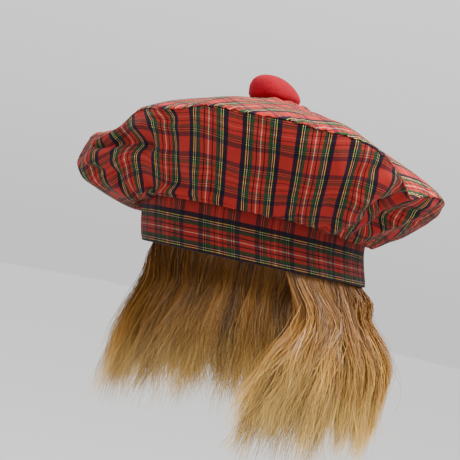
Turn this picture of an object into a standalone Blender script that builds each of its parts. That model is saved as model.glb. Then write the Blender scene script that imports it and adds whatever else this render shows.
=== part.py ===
"""A tartan tam o' shanter with a hair fringe sewn inside its band.

Metres, +Z up, the wearer's front toward -Y and the wearer's left toward +X. The origin is the middle of the head opening, in the plane of the band's lower edge. A bearing is in degrees from the front, growing toward the wearer's left.
"""

import math

import bmesh
import bpy
import numpy as np

GAP = 0.0003  # kept between neighbouring pieces
CLOTH = 0.0020  # wall of the crown's cloth
BAND_WALL = 0.0030  # the band is folded double

BAND_WIDTH = 0.160  # outside, side to side
BAND_DEPTH = 0.200  # outside, front to back
BAND_HEIGHT = 0.036
BAND_WAIST = 0.0012  # how far the band's middle draws in
BAND_ROLL = 0.0010  # rounding of its folded lower edge

CROWN_RADIUS = 0.140  # the table of the crown is in shares of this
CROWN_HEIGHT = 0.127  # the table's heights are in shares of this
DOME_TOP = 0.1257  # the top of the dome, from the band's lower edge
DOME_POWER = 1.86  # 2 is a parabola, 1 a cone
GATHERS = 21  # soft gathers where the side meets the band
GATHER_DEPTH = 0.0011

# The crown slumps to the wearer's front right: how far the band's top and the middle of the dome have moved
BAND_LEAN = (-0.0051, -0.0040)
CROWN_LEAN = (-0.0102, -0.0080)

POMPOM_WIDTH = 0.041
POMPOM_HEIGHT = 0.0255
POMPOM_DIMPLE = 0.0061  # how deep it is drawn into the dome
DIMPLE_REACH = 0.0185

HAIR_FROM = 60  # bearing where the fringe starts, and it ends at 360 less this
WEFT_WALL = 0.0018
WEFT_TOP = 0.024
HAIR_LENGTH = 0.131  # below the band's lower edge
LOCK_WIDTH = 0.027
LOCK_THICKNESS = 0.0115

ROUND = 80  # facets round the crown and the band
SIDE_ROWS = 12
TOP_ROWS = 6

# The crown's cloth by bearing. r is a share of CROWN_RADIUS from the origin, z of CROWN_HEIGHT.
# seam: the edge where the top meets the side. high, belly and low: the side's cloth on its way down to the band.
CROWN = [
    # bearing  seam r  z      high r  z      belly r z      low r  z
    (-82, 1.018, 0.572, 1.064, 0.482, 1.004, 0.338, 0.780, 0.212),
    (-67, 1.044, 0.566, 1.066, 0.474, 1.024, 0.340, 0.757, 0.188),
    (-52, 1.040, 0.568, 1.058, 0.465, 1.018, 0.340, 0.757, 0.192),
    (-37, 0.982, 0.567, 1.036, 0.470, 1.000, 0.350, 0.757, 0.208),
    (-30, 0.935, 0.598, 0.985, 0.500, 0.960, 0.368, 0.757, 0.230),
    (-22, 0.905, 0.683, 0.920, 0.575, 0.915, 0.425, 0.757, 0.278),
    (-12, 0.888, 0.743, 0.895, 0.630, 0.875, 0.465, 0.755, 0.320),
    (8, 0.873, 0.789, 0.868, 0.668, 0.822, 0.505, 0.742, 0.372),
    (23, 0.873, 0.766, 0.862, 0.655, 0.803, 0.508, 0.730, 0.382),
    (38, 0.875, 0.764, 0.858, 0.650, 0.798, 0.508, 0.724, 0.384),
    (50, 0.882, 0.752, 0.866, 0.642, 0.808, 0.507, 0.728, 0.388),
    (62, 0.893, 0.746, 0.880, 0.638, 0.830, 0.504, 0.740, 0.390),
    (70, 0.900, 0.727, 0.892, 0.622, 0.848, 0.492, 0.752, 0.380),
    (78, 0.907, 0.675, 0.893, 0.580, 0.846, 0.462, 0.752, 0.364),
    (84, 0.918, 0.598, 0.860, 0.515, 0.782, 0.425, 0.700, 0.350),
    (89, 0.905, 0.556, 0.822, 0.488, 0.737, 0.415, 0.668, 0.343),
    (96, 0.912, 0.592, 0.830, 0.492, 0.736, 0.410, 0.664, 0.340),
    (106, 0.938, 0.613, 0.886, 0.513, 0.795, 0.417, 0.690, 0.340),
    (118, 0.944, 0.606, 0.910, 0.510, 0.816, 0.414, 0.704, 0.338),
    (130, 0.940, 0.602, 0.920, 0.508, 0.826, 0.416, 0.712, 0.340),
    (155, 0.945, 0.592, 0.966, 0.508, 0.890, 0.432, 0.748, 0.345),
    (185, 0.950, 0.622, 0.980, 0.532, 0.915, 0.445, 0.766, 0.350),
    (215, 0.958, 0.622, 0.988, 0.532, 0.920, 0.442, 0.772, 0.342),
    (245, 0.975, 0.606, 1.014, 0.514, 0.950, 0.415, 0.775, 0.305),
    (262, 0.992, 0.590, 1.040, 0.500, 0.982, 0.378, 0.778, 0.255),
]

# Creases and ridges of the side: a line from one bearing and share of the way down to another.
# depth is in metres, inward when positive; reach is how far the crease spreads to each side.
FOLDS = [
    # bearing, down    bearing, down   depth    reach
    (-36, 0.285, -8, 0.345, 0.0080, 0.0055),  # under the flap at the front right
    (-36, 0.110, -12, 0.160, -0.0022, 0.0070),  # the flap's own roll
    (-52, 0.330, -14, 0.860, -0.0034, 0.0100),  # soft ridge from the puff to the band
    (-44, 0.640, -30, 0.900, 0.0030, 0.0090),
    (-4, 0.120, 0, 0.800, 0.0026, 0.0080),  # soft upright fold
    (7, 0.100, 10, 0.850, -0.0020, 0.0080),
    (38, 0.450, 42, 0.660, 0.0042, 0.0130),  # dimple at the front
    (79, 0.060, 70, 0.560, -0.0046, 0.0075),  # lip of the big crease
    (70, 0.560, 72, 0.930, -0.0036, 0.0070),
    (88, 0.100, 79, 0.500, 0.0070, 0.0065),  # the big crease at the left
    (79, 0.500, 80, 0.930, 0.0052, 0.0065),
    (104, 0.160, 96, 0.880, -0.0024, 0.0080),
    (112, 0.300, 110, 0.850, 0.0026, 0.0080),
    (150, 0.150, 146, 0.880, 0.0030, 0.0110),
    (176, 0.100, 182, 0.860, -0.0028, 0.0120),
    (204, 0.150, 200, 0.880, 0.0036, 0.0110),
    (236, 0.200, 244, 0.860, -0.0030, 0.0120),
    (258, 0.150, 252, 0.880, 0.0036, 0.0120),
]
SIDE_ARC = 0.00218  # metres of side cloth for one degree, and
SIDE_FALL = 0.080  # from the seam to the band, to measure a crease's reach with

# Dents of the top: bearing, share of the way out to the seam, depth down, reach along and across
DENTS = [
    (-58, 0.830, 0.0090, 0.040, 0.017),
    (-36, 0.800, 0.0030, 0.020, 0.014),
    (84, 0.860, 0.0050, 0.016, 0.012),
    (60, 0.620, 0.0016, 0.040, 0.020),
    (150, 0.700, 0.0024, 0.030, 0.024),
    (245, 0.650, 0.0022, 0.036, 0.026),
    (5, 0.600, 0.0014, 0.036, 0.022),
]

# The fringe's locks, by bearing. long and wide are shares of HAIR_LENGTH and LOCK_WIDTH. turn is how many degrees the lock has swung round the head at a quarter, half and the whole of its length, and out how far it has moved outward there, in metres.
LOCKS = [
    # bearing long  wide  turns            outs
    (62, 1.00, 1.00, (10, -2, -15), (0.006, 0.012, 0.014)),
    (66, 0.86, 0.90, (8, 2, -17), (0.009, 0.015, 0.012)),
    (72, 1.01, 1.05, (6, -3, -12), (0.007, 0.017, 0.018)),
    (79, 0.96, 1.00, (6, 1, -7), (0.010, 0.018, 0.021)),
    (86, 1.02, 1.05, (4, -1, -4), (0.008, 0.019, 0.021)),
    (94, 0.97, 1.00, (3, 2, -1), (0.010, 0.023, 0.024)),
    (101, 0.99, 1.00, (2, 2, 1), (0.009, 0.023, 0.027)),
    (109, 0.94, 1.05, (1, 2, 3), (0.012, 0.027, 0.029)),
    (117, 0.90, 1.00, (1, 1, 3), (0.010, 0.028, 0.032)),
    (125, 0.80, 1.00, (1, 0, 2), (0.014, 0.031, 0.033)),
    (133, 0.84, 1.05, (0, -1, -2), (0.010, 0.028, 0.031)),
    (142, 0.92, 1.00, (0, 1, 2), (0.009, 0.024, 0.028)),
    (151, 0.88, 1.05, (1, 2, 1), (0.006, 0.021, 0.027)),
    (160, 0.95, 1.05, (0, -1, -2), (0.008, 0.022, 0.027)),
    (170, 0.90, 1.05, (0, 1, 2), (0.005, 0.019, 0.025)),
    (180, 0.96, 1.05, (1, 0, -1), (0.008, 0.021, 0.026)),
    (190, 0.90, 1.05, (0, -1, -2), (0.005, 0.019, 0.025)),
    (200, 0.95, 1.05, (0, 1, 2), (0.008, 0.021, 0.026)),
    (209, 0.89, 1.05, (-1, 0, 1), (0.005, 0.018, 0.025)),
    (218, 0.94, 1.00, (0, -1, -2), (0.008, 0.020, 0.025)),
    (227, 0.89, 1.05, (0, 1, 1), (0.005, 0.018, 0.025)),
    (235, 0.94, 1.00, (-1, 0, 2), (0.008, 0.020, 0.026)),
    (243, 0.90, 1.00, (0, 1, 3), (0.005, 0.018, 0.026)),
    (251, 0.96, 1.05, (0, 2, 2), (0.009, 0.020, 0.028)),
    (259, 0.90, 1.00, (-1, 2, 5), (0.006, 0.018, 0.030)),
    (267, 0.97, 1.00, (0, 1, 4), (0.008, 0.019, 0.030)),
    (275, 0.92, 1.00, (-1, 2, 8), (0.005, 0.016, 0.028)),
    (283, 0.98, 0.95, (-2, 1, 7), (0.005, 0.014, 0.024)),
    (291, 0.86, 0.90, (-3, 0, 6), (0.003, 0.011, 0.018)),
    (298, 0.92, 0.90, (-5, -1, 6), (0.002, 0.009, 0.014)),
]
LOCK_SIDES = 6
LOCK_RINGS = (0.0, 0.10, 0.26, 0.46, 0.68, 0.88, 1.0)
LOCK_FULL = (0.62, 0.84, 1.04, 1.08, 0.98, 0.62, 0.16)  # its width at each ring


def looped(rows, bearing):
    """The table's columns at a bearing, on smooth curves that close round the head."""
    table = np.array(sorted(rows))
    knots, values = table[:, 0], table[:, 1:]
    knots = np.concatenate([knots[-2:] - 360, knots, knots[:2] + 360])
    values = np.concatenate([values[-2:], values, values[:2]])
    at = (bearing - knots[1]) % 360 + knots[1]
    k = min(max(int(np.searchsorted(knots, at, "right")) - 1, 1), len(knots) - 3)
    return curve(knots[k - 1 : k + 3], values[k - 1 : k + 3], at)


def curve(knots, values, at):
    """A smooth curve through four values, between the middle two."""
    (k0, k1, k2, k3), (v0, v1, v2, v3) = knots, values
    span = k2 - k1
    start = (v2 - v0) / (k2 - k0) * span
    end = (v3 - v1) / (k3 - k1) * span
    s = (at - k1) / span
    return (
        (2 * s**3 - 3 * s**2 + 1) * v1
        + (s**3 - 2 * s**2 + s) * start
        + (3 * s**2 - 2 * s**3) * v2
        + (s**3 - s**2) * end
    )


def along(points, s):
    """The place a share of the way along a smooth line through a few points."""
    points = np.asarray(points, float)
    padded = np.concatenate([[2 * points[0] - points[1]], points, [2 * points[-1] - points[-2]]])
    spot = s * (len(points) - 1)
    k = min(int(spot), len(points) - 2)
    return curve(np.arange(4.0) - 1, padded[k : k + 4], spot - k)


def heading(bearing):
    turn = math.radians(bearing)
    return np.array([math.sin(turn), -math.cos(turn), 0.0])


def oval(bearing, inset, z):
    """A point on the band's oval, moved inward by inset, at height z."""
    turn = math.radians(bearing)
    reach = heading(bearing)
    a, b = BAND_WIDTH / 2 - inset, BAND_DEPTH / 2 - inset
    radius = a * b / math.hypot(b * math.sin(turn), a * math.cos(turn))
    share = min(max(z / BAND_HEIGHT, 0.0), 1.0)
    waist = BAND_WAIST * math.sin(math.pi * share)
    lean = math.sin(share * math.pi / 2)
    place = reach * (radius - waist)
    return place + np.array([BAND_LEAN[0] * lean, BAND_LEAN[1] * lean, z])


def seam_point(bearing):
    r, z = looped(CROWN, bearing)[:2]
    return heading(bearing) * r * CROWN_RADIUS + np.array([0, 0, z * CROWN_HEIGHT])


def crease(bearing, down, fold):
    """How deep one line of FOLDS presses in here."""
    b0, d0, b1, d1, depth, reach = fold
    start = np.array([b0 * SIDE_ARC, d0 * SIDE_FALL])
    line = np.array([b1 * SIDE_ARC, d1 * SIDE_FALL]) - start
    turned = (bearing - b0 + 180) % 360 - 180 + b0
    here = np.array([turned * SIDE_ARC, down * SIDE_FALL]) - start
    s = float(here @ line / (line @ line))
    off = np.linalg.norm(here - min(max(s, 0.0), 1.0) * line)
    return depth * math.exp(-((off / reach) ** 2))


def side_line(bearing):
    """The side's cloth at a bearing, from under the seam down to the band's top edge, before its folds."""
    row = looped(CROWN, bearing)
    knots = [seam_point(bearing) - np.array([0, 0, CLOTH + GAP])]
    for r, z in (row[2:4], row[4:6], row[6:8]):
        knots.append(heading(bearing) * r * CROWN_RADIUS + np.array([0, 0, z * CROWN_HEIGHT]))
    knots.append(oval(bearing, -3 * GAP, BAND_HEIGHT) + np.array([0, 0, 2 * GAP]))
    return knots


def facing(grid):
    """Unit normals of a grid that runs round the hat and down it, pointing out of the hat."""
    across = np.roll(grid, -1, 0) - np.roll(grid, 1, 0)
    down = np.gradient(grid, axis=1)
    out = np.cross(down, across)
    return out / np.linalg.norm(out, axis=2, keepdims=True)


def clear_of_band(place):
    """Moves a point of the side's cloth out of the band, where it droops beside it."""
    middle = oval(0, 0, BAND_HEIGHT)[:2] + np.array([0, BAND_DEPTH / 2])
    off = place[:2] - middle
    bearing = math.degrees(math.atan2(off[0], -off[1]))
    least = np.hypot(*(oval(bearing, -6 * GAP, place[2])[:2] - middle))
    far = np.hypot(*off)
    if far < least:
        place[:2] = middle + off * least / far
    return place


def side_grid():
    bearings = np.arange(ROUND) * 360 / ROUND
    shares = np.linspace(0, 1, SIDE_ROWS)
    grid = np.array([[along(side_line(b), s) for s in shares] for b in bearings])
    out = facing(grid)
    for i, b in enumerate(bearings):
        for j, s in enumerate(shares):
            held = min(1.0, 9 * s * (1 - s))  # both sewn edges stay where they are
            gathers = GATHER_DEPTH * math.cos(math.radians(b * GATHERS)) * s**3
            press = sum(crease(b, s, fold) for fold in FOLDS) + gathers
            grid[i, j] -= out[i, j] * press * held
            if grid[i, j, 2] < BAND_HEIGHT + CLOTH and j < SIDE_ROWS - 1:
                grid[i, j] = clear_of_band(grid[i, j])
    return grid


def top_point(bearing, share):
    """The top's cloth, a share of the way from the dome's middle to the seam."""
    middle = np.array([CROWN_LEAN[0], CROWN_LEAN[1], DOME_TOP])
    edge = seam_point(bearing)
    place = middle + (edge - middle) * share
    place[2] = edge[2] + (DOME_TOP - edge[2]) * (1 - share**DOME_POWER)
    off = np.hypot(*(place[:2] - middle[:2]))
    place[2] -= POMPOM_DIMPLE * math.exp(-((off / DIMPLE_REACH) ** 2))
    fade = min(1.0, 8 * (1 - share))
    for b, out, depth, long, wide in DENTS:
        spot = seam_point(b) - middle
        gap = place[:2] - middle[:2] - spot[:2] * out
        way = heading(b)[:2]
        radial, turned = gap @ way, gap[0] * way[1] - gap[1] * way[0]
        place[2] -= fade * depth * math.exp(-((turned / long) ** 2) - (radial / wide) ** 2)
    return place


def new_object(name, points, faces):
    mesh = bpy.data.meshes.new(name)
    mesh.from_pydata([tuple(p) for p in points], [], faces)
    mesh.validate()
    mesh.update()
    ob = bpy.data.objects.new(name, mesh)
    bpy.context.scene.collection.objects.link(ob)
    return ob


def closed_wall(name, outer, inner):
    """One body between two grids that run round the hat and down it."""
    rows, cols = outer.shape[:2]
    points = np.concatenate([outer.reshape(-1, 3), inner.reshape(-1, 3)])

    def at(side, i, j):
        return (side * rows + i % rows) * cols + j

    faces = []
    for i in range(rows):
        for j in range(cols - 1):
            faces.append((at(0, i, j), at(0, i, j + 1), at(0, i + 1, j + 1), at(0, i + 1, j)))
            faces.append((at(1, i, j), at(1, i + 1, j), at(1, i + 1, j + 1), at(1, i, j + 1)))
        faces.append((at(0, i, 0), at(0, i + 1, 0), at(1, i + 1, 0), at(1, i, 0)))
        e = cols - 1
        faces.append((at(0, i, e), at(1, i, e), at(1, i + 1, e), at(0, i + 1, e)))
    return new_object(name, points, faces)


def build_crown_side():
    outer = side_grid()
    inner = outer - facing(outer) * CLOTH
    for i in range(ROUND):
        bearing = i * 360 / ROUND
        # both sewn edges are cut square: one under the top's edge, the other on the band's
        inner[i, 0] = outer[i, 0] - heading(bearing) * CLOTH - np.array([0, 0, GAP])
        inner[i, -1] = oval(bearing, CLOTH * 0.6, BAND_HEIGHT) + np.array([0, 0, CLOTH + GAP])
    return closed_wall("crown_side", outer, inner)


def build_crown_top():
    shares = np.linspace(0, 1, TOP_ROWS + 1)[1:] ** 0.85
    grid = np.array([[top_point(b, s) for s in shares] for b in np.arange(ROUND) * 360 / ROUND])
    middle = top_point(0, 0)
    drop = np.array([0, 0, CLOTH])
    cols = len(shares)
    points = np.concatenate([grid.reshape(-1, 3), grid.reshape(-1, 3) - drop, [middle, middle - drop]])

    def at(side, i, j):
        return (side * ROUND + i % ROUND) * cols + j

    top, under = 2 * ROUND * cols, 2 * ROUND * cols + 1
    faces = []
    for i in range(ROUND):
        faces.append((top, at(0, i, 0), at(0, i + 1, 0)))
        faces.append((under, at(1, i + 1, 0), at(1, i, 0)))
        for j in range(cols - 1):
            faces.append((at(0, i, j), at(0, i, j + 1), at(0, i + 1, j + 1), at(0, i + 1, j)))
            faces.append((at(1, i, j), at(1, i + 1, j), at(1, i + 1, j + 1), at(1, i, j + 1)))
        e = cols - 1
        faces.append((at(0, i, e), at(1, i, e), at(1, i + 1, e), at(0, i + 1, e)))
    return new_object("crown_top", points, faces)


def build_headband():
    bearings = np.arange(ROUND) * 360 / ROUND
    outer_rows = [(0, BAND_HEIGHT), (0, 0.5 * BAND_HEIGHT), (0, BAND_ROLL), (BAND_ROLL, 0)]
    inner_rows = [(BAND_WALL, z) for _, z in outer_rows[:3]] + [(BAND_WALL - BAND_ROLL, 0)]
    outer = np.array([[oval(b, inset, z) for inset, z in outer_rows] for b in bearings])
    inner = np.array([[oval(b, inset, z) for inset, z in inner_rows] for b in bearings])
    return closed_wall("headband", outer, inner)


def build_pompom():
    """A squashed ball, fuller toward the wearer's front right, in the dimple of the dome."""
    middle = np.array([*CROWN_LEAN, 0.0])
    side, rows = 24, 11
    foot = DOME_TOP - POMPOM_DIMPLE + 4 * GAP
    belly = foot + POMPOM_HEIGHT * 0.40
    points, faces = [middle + [0, 0, foot]], []
    lean = np.array([*BAND_LEAN, 0.0]) / np.hypot(*BAND_LEAN)
    for j in range(1, rows):
        tilt = -math.pi / 2 + math.pi * j / rows
        width = POMPOM_WIDTH / 2 * math.cos(tilt) ** (0.74 if tilt > 0 else 0.90)
        rise = math.sin(tilt)
        tall = belly - foot if rise < 0 else foot + POMPOM_HEIGHT - belly
        swell = 0.0022 * max(rise, 0)
        for i in range(side):
            way = heading(i * 360 / side)
            place = middle + way * width + lean * swell * 1.4
            points.append(place + [0, 0, belly + tall * rise - (1 - way @ lean) * swell * math.cos(tilt)])
    points.append(middle + lean * 0.003 + [0, 0, foot + POMPOM_HEIGHT])
    last = len(points) - 1

    def at(i, j):
        return 1 + (j - 1) * side + i % side

    for i in range(side):
        faces.append((0, at(i + 1, 1), at(i, 1)))
        faces.append((last, at(i, rows - 1), at(i + 1, rows - 1)))
        for j in range(1, rows - 1):
            faces.append((at(i, j), at(i + 1, j), at(i + 1, j + 1), at(i, j + 1)))
    return new_object("pompom", points, faces)


def lock_mesh(number, row):
    """One tapering lock that starts on the weft inside the band and hangs below it."""
    bearing, long, wide, turns, outs = row
    inset = BAND_WALL + GAP * 1.4 + WEFT_WALL / 2 + 0.0008
    top, foot = WEFT_TOP * 0.42, -HAIR_LENGTH * long
    middles, widths = [], []
    for share, full in zip(LOCK_RINGS, LOCK_FULL):
        z = top + (foot - top) * share
        hang = max(0.0, -z / (HAIR_LENGTH * long))
        turn = along([(0.0,), (turns[0],), (turns[1],), (turns[1] * 0.4 + turns[2] * 0.6,), (turns[2],)], hang)[0]
        out = along([(0.0,), (outs[0],), (outs[1],), (outs[1] * 0.3 + outs[2] * 0.7,), (outs[2],)], hang)[0]
        base = oval(bearing + turn, inset, z)
        middles.append(base + heading(bearing + turn) * out)
        widths.append(full)
    middles = np.array(middles)
    points, faces = [], []
    for k, (middle, full) in enumerate(zip(middles, widths)):
        hang = max(0.0, -middle[2] / HAIR_LENGTH)
        bearing = math.degrees(math.atan2(middle[0], -middle[1]))
        radius = math.hypot(middle[0], middle[1])
        half_wide = LOCK_WIDTH * wide * full / 2
        # thin while it is inside the band, full once it is below
        half_thick = min(WEFT_WALL * 0.42, LOCK_THICKNESS) if hang <= 0 else LOCK_THICKNESS / 2 * full * min(1.0, 0.20 + 3.0 * hang)
        for m in range(LOCK_SIDES):
            turn = 2 * math.pi * m / LOCK_SIDES
            # the lock wraps round the head, so its width is laid along the oval
            there = bearing - math.degrees(half_wide * math.cos(turn) / radius)
            wrap = np.hypot(*(oval(there, 0, 0)[:2])) - np.hypot(*(oval(bearing, 0, 0)[:2]))
            points.append(heading(there) * (radius + wrap + half_thick * math.sin(turn)) + [0, 0, middle[2]])
    rings = len(middles)

    def at(k, m):
        return k * LOCK_SIDES + m % LOCK_SIDES

    for k in range(rings - 1):
        for m in range(LOCK_SIDES):
            faces.append((at(k, m), at(k, m + 1), at(k + 1, m + 1), at(k + 1, m)))
    faces.append(tuple(at(0, m) for m in range(LOCK_SIDES))[::-1])
    faces.append(tuple(at(rings - 1, m) for m in range(LOCK_SIDES)))
    return new_object(f"lock_{number:02d}", points, faces)


def weft_mesh():
    """The sewn strip that carries the locks, inside the band."""
    steps = 40
    inset = BAND_WALL + GAP * 1.4
    bearings = np.linspace(HAIR_FROM, 360 - HAIR_FROM, steps)
    rows = [WEFT_TOP, 0.5 * BAND_HEIGHT, 0.0005]
    ring = [(inset, z) for z in rows] + [(inset + WEFT_WALL, z) for z in rows[::-1]]
    points = np.array([[oval(b, i, z) for i, z in ring] for b in bearings]).reshape(-1, 3)
    count = len(ring)
    faces = []
    for i in range(steps - 1):
        for j in range(count):
            k = (j + 1) % count
            faces.append((i * count + j, i * count + k, (i + 1) * count + k, (i + 1) * count + j))
    faces.append(tuple(range(count))[::-1])
    faces.append(tuple((steps - 1) * count + j for j in range(count)))
    return new_object("hair_fringe", points, faces)


def outward(ob):
    """Turns the faces of a closed mesh out where they point in."""
    mesh = ob.data
    volume = 0.0
    for poly in mesh.polygons:
        ring = [np.array(mesh.vertices[v].co) for v in poly.vertices]
        for k in range(1, len(ring) - 1):
            volume += float(np.dot(ring[0], np.cross(ring[k], ring[k + 1])))
    if volume < 0:
        mesh.flip_normals()
    return ob


def build_hair_fringe():
    fringe = outward(weft_mesh())
    locks = [outward(lock_mesh(n, row)) for n, row in enumerate(LOCKS)]
    for lock in locks:
        union = fringe.modifiers.new("fuse", "BOOLEAN")
        union.operation = "UNION"
        union.solver = "MANIFOLD"
        union.object = lock
        depsgraph = bpy.context.evaluated_depsgraph_get()
        fused = bpy.data.meshes.new_from_object(fringe.evaluated_get(depsgraph))
        fringe.modifiers.clear()
        fringe.data = fused
        bpy.data.objects.remove(lock)
    return filled(fringe)


def filled(ob):
    """Drops the sealed pockets left where locks cross, so that one outer skin remains."""
    shape = bmesh.new()
    shape.from_mesh(ob.data)
    left, islands = set(shape.verts), []
    while left:
        front = [left.pop()]
        island = set(front)
        while front:
            for edge in front.pop().link_edges:
                for vert in edge.verts:
                    if vert in left:
                        left.discard(vert)
                        island.add(vert)
                        front.append(vert)
        islands.append(island)
    islands.sort(key=len, reverse=True)
    bmesh.ops.delete(shape, geom=[v for island in islands[1:] for v in island], context="VERTS")
    shape.to_mesh(ob.data)
    shape.free()
    return ob


for old in list(bpy.data.objects):
    bpy.data.objects.remove(old)

for piece in (build_crown_top(), build_crown_side(), build_headband(), build_pompom(), build_hair_fringe()):
    outward(piece)
    print(piece.name, len(piece.data.vertices), "points", sum(len(p.vertices) - 2 for p in piece.data.polygons), "triangles")
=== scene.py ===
# %% [markdown]
# A tam o' shanter is a round Scottish bonnet. A disc of tartan makes the top, a ring of tartan makes the
# puffed side, and a folded band holds it in place. This one also carries a ginger hair fringe, sewn inside
# the band.
# The solids of the CAD model are loaded first, as a frame that fixes every size and place. Each soft piece
# made below stands for one of them, with finer folds, a woven pattern or separate hairs.

import math

import bpy
import numpy as np
from mathutils import Matrix, Vector


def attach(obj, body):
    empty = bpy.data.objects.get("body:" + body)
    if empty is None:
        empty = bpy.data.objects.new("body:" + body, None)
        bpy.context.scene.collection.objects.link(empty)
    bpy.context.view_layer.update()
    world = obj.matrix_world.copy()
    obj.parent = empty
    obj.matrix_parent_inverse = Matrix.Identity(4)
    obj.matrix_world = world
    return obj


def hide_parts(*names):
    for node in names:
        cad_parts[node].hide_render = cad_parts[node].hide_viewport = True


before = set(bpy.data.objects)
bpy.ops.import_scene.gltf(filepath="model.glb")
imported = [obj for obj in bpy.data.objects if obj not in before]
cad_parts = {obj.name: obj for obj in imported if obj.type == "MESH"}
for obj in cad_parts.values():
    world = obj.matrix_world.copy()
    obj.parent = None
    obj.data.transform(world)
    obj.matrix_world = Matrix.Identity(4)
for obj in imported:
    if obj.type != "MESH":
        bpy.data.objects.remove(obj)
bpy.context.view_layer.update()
print("nodes:", sorted(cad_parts))

# %% [markdown]
# The camera stands level with the band, about a metre away and 38 degrees toward the wearer's left. The
# photograph shows the hat leaning 12 degrees to the right, so the camera rolls instead and the hat stays
# upright.

# %% Camera
CAMERA_BEARING = math.radians(38)
CAMERA_DISTANCE = 1.0
CAMERA_ROLL = math.radians(12.2)
MM_PER_PIXEL = 0.775  # at the middle of the band
PHOTO_PIXELS = 460
SENSOR_WIDTH = 36
AIM_RIGHT, AIM_UP = -0.0249, 0.0220  # the place in the middle of the picture

image_right = Vector((math.cos(CAMERA_BEARING), math.sin(CAMERA_BEARING), 0))
toward_camera = Vector((math.sin(CAMERA_BEARING), -math.cos(CAMERA_BEARING), 0))
camera_data = bpy.data.cameras.new("photo_camera")
camera_data.sensor_width = SENSOR_WIDTH
camera_data.lens = SENSOR_WIDTH * CAMERA_DISTANCE / (PHOTO_PIXELS * MM_PER_PIXEL / 1000)
camera_data.clip_end = 30
camera = bpy.data.objects.new("photo_camera", camera_data)
bpy.context.scene.collection.objects.link(camera)
camera.location = toward_camera * CAMERA_DISTANCE
aim = image_right * AIM_RIGHT + Vector((0, 0, AIM_UP))
back = (camera.location - aim).normalized()
level = Vector((0, 0, 1)).cross(back).normalized()
upright = back.cross(level)
right = level * math.cos(CAMERA_ROLL) + upright * math.sin(CAMERA_ROLL)
up = back.cross(right)
rolled = Matrix((right, up, back)).transposed().to_4x4()
camera.matrix_world = Matrix.Translation(camera.location) @ rolled
bpy.context.scene.camera = camera
print("lens", round(camera_data.lens, 1), "mm")

# %% [markdown]
# Soft studio light could come from a picture of a studio, but a plain white world that grows brighter
# overhead gives the same even light and needs no file. It fills the shadows, a large panel above and to the
# right shapes the folds, and a weaker one from the left keeps them open.

# %% World and lamps
SKY_LEVEL, SKY_OVERHEAD = 0.88, 2.3
LAMP_TARGET = Vector((0, 0, 0.02))

world = bpy.data.worlds.new("studio")
world.use_nodes = True
sky = world.node_tree.nodes["Background"]
sky.inputs["Color"].default_value = (1, 1, 1, 1)
direction = world.node_tree.nodes.new("ShaderNodeTexCoord")
upward = world.node_tree.nodes.new("ShaderNodeSeparateXYZ")
brighter = world.node_tree.nodes.new("ShaderNodeMapRange")
brighter.inputs["To Min"].default_value = SKY_LEVEL
brighter.inputs["To Max"].default_value = SKY_OVERHEAD
world.node_tree.links.new(direction.outputs["Generated"], upward.inputs[0])
world.node_tree.links.new(upward.outputs["Z"], brighter.inputs["Value"])
world.node_tree.links.new(brighter.outputs["Result"], sky.inputs["Strength"])
bpy.context.scene.world = world


def panel(name, right, forward, up, size, watts):
    """A round lamp that faces the hat, placed by metres to the right, toward the camera and up."""
    lamp = bpy.data.lights.new(name, "AREA")
    lamp.shape = "DISK"
    lamp.size = size
    lamp.energy = watts
    stand = bpy.data.objects.new(name, lamp)
    bpy.context.scene.collection.objects.link(stand)
    place = image_right * right + toward_camera * forward + Vector((0, 0, up))
    stand.location = place
    stand.rotation_euler = (LAMP_TARGET - place).to_track_quat("-Z", "Y").to_euler()


panel("key_light", 1.0, 0.5, 1.6, size=0.8, watts=68)
panel("fill_light", -1.3, 0.9, 0.5, size=1.0, watts=2)
print("world goes from", SKY_LEVEL, "to", SKY_OVERHEAD, "overhead, with", len(bpy.data.lights), "lamps")

# %% [markdown]
# The floor is plain and pale. It lies well below the hair, since the hat is held up and does not rest on
# it.

# %% Floor
FLOOR_REACH, FLOOR_HEIGHT = 8, -0.45

pale_floor = bpy.data.materials.new("pale_floor")
pale_floor.use_nodes = True
floor_shader = pale_floor.node_tree.nodes["Principled BSDF"]
floor_shader.inputs["Base Color"].default_value = (0.52, 0.52, 0.515, 1)
floor_shader.inputs["Roughness"].default_value = 0.8
floor_mesh = bpy.data.meshes.new("floor")
floor_corners = [(FLOOR_REACH * x, FLOOR_REACH * y, FLOOR_HEIGHT) for x, y in ((-1, -1), (1, -1), (1, 1), (-1, 1))]
floor_mesh.from_pydata(floor_corners, [], [(0, 1, 2, 3)])
floor_mesh.materials.append(pale_floor)
floor = bpy.data.objects.new("floor", floor_mesh)
bpy.context.scene.collection.objects.link(floor)
print("floor is", -FLOOR_HEIGHT, "m below the band")

# %% [markdown]
# The cloth's shape comes from the same sizes and tables as the solids. A row of the table describes the
# cloth at one bearing, in degrees from the wearer's front toward the wearer's left. Smooth curves through
# the rows give every point between them, so a fine mesh can be laid over the coarse solid.

# %% Sizes in metres
GAP = 0.0003  # left between neighbouring pieces
CLOTH = 0.0020  # how thick the crown's cloth is
BAND_WIDTH, BAND_DEPTH, BAND_HEIGHT = 0.160, 0.200, 0.036
BAND_WAIST = 0.0012  # how far the band draws in halfway up
BAND_LEAN = (-0.0051, -0.0040)  # how far its upper edge leans to the wearer's right and to the front
CROWN_RADIUS, CROWN_HEIGHT = 0.140, 0.127
ROUND = 400  # points round the hat
JOIN = -145.0  # the ring of cloth is joined at the back, so the grids start there
bearings = JOIN + np.arange(ROUND) * 360 / ROUND
print("a point every", round(360 / ROUND, 2), "degrees")

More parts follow.
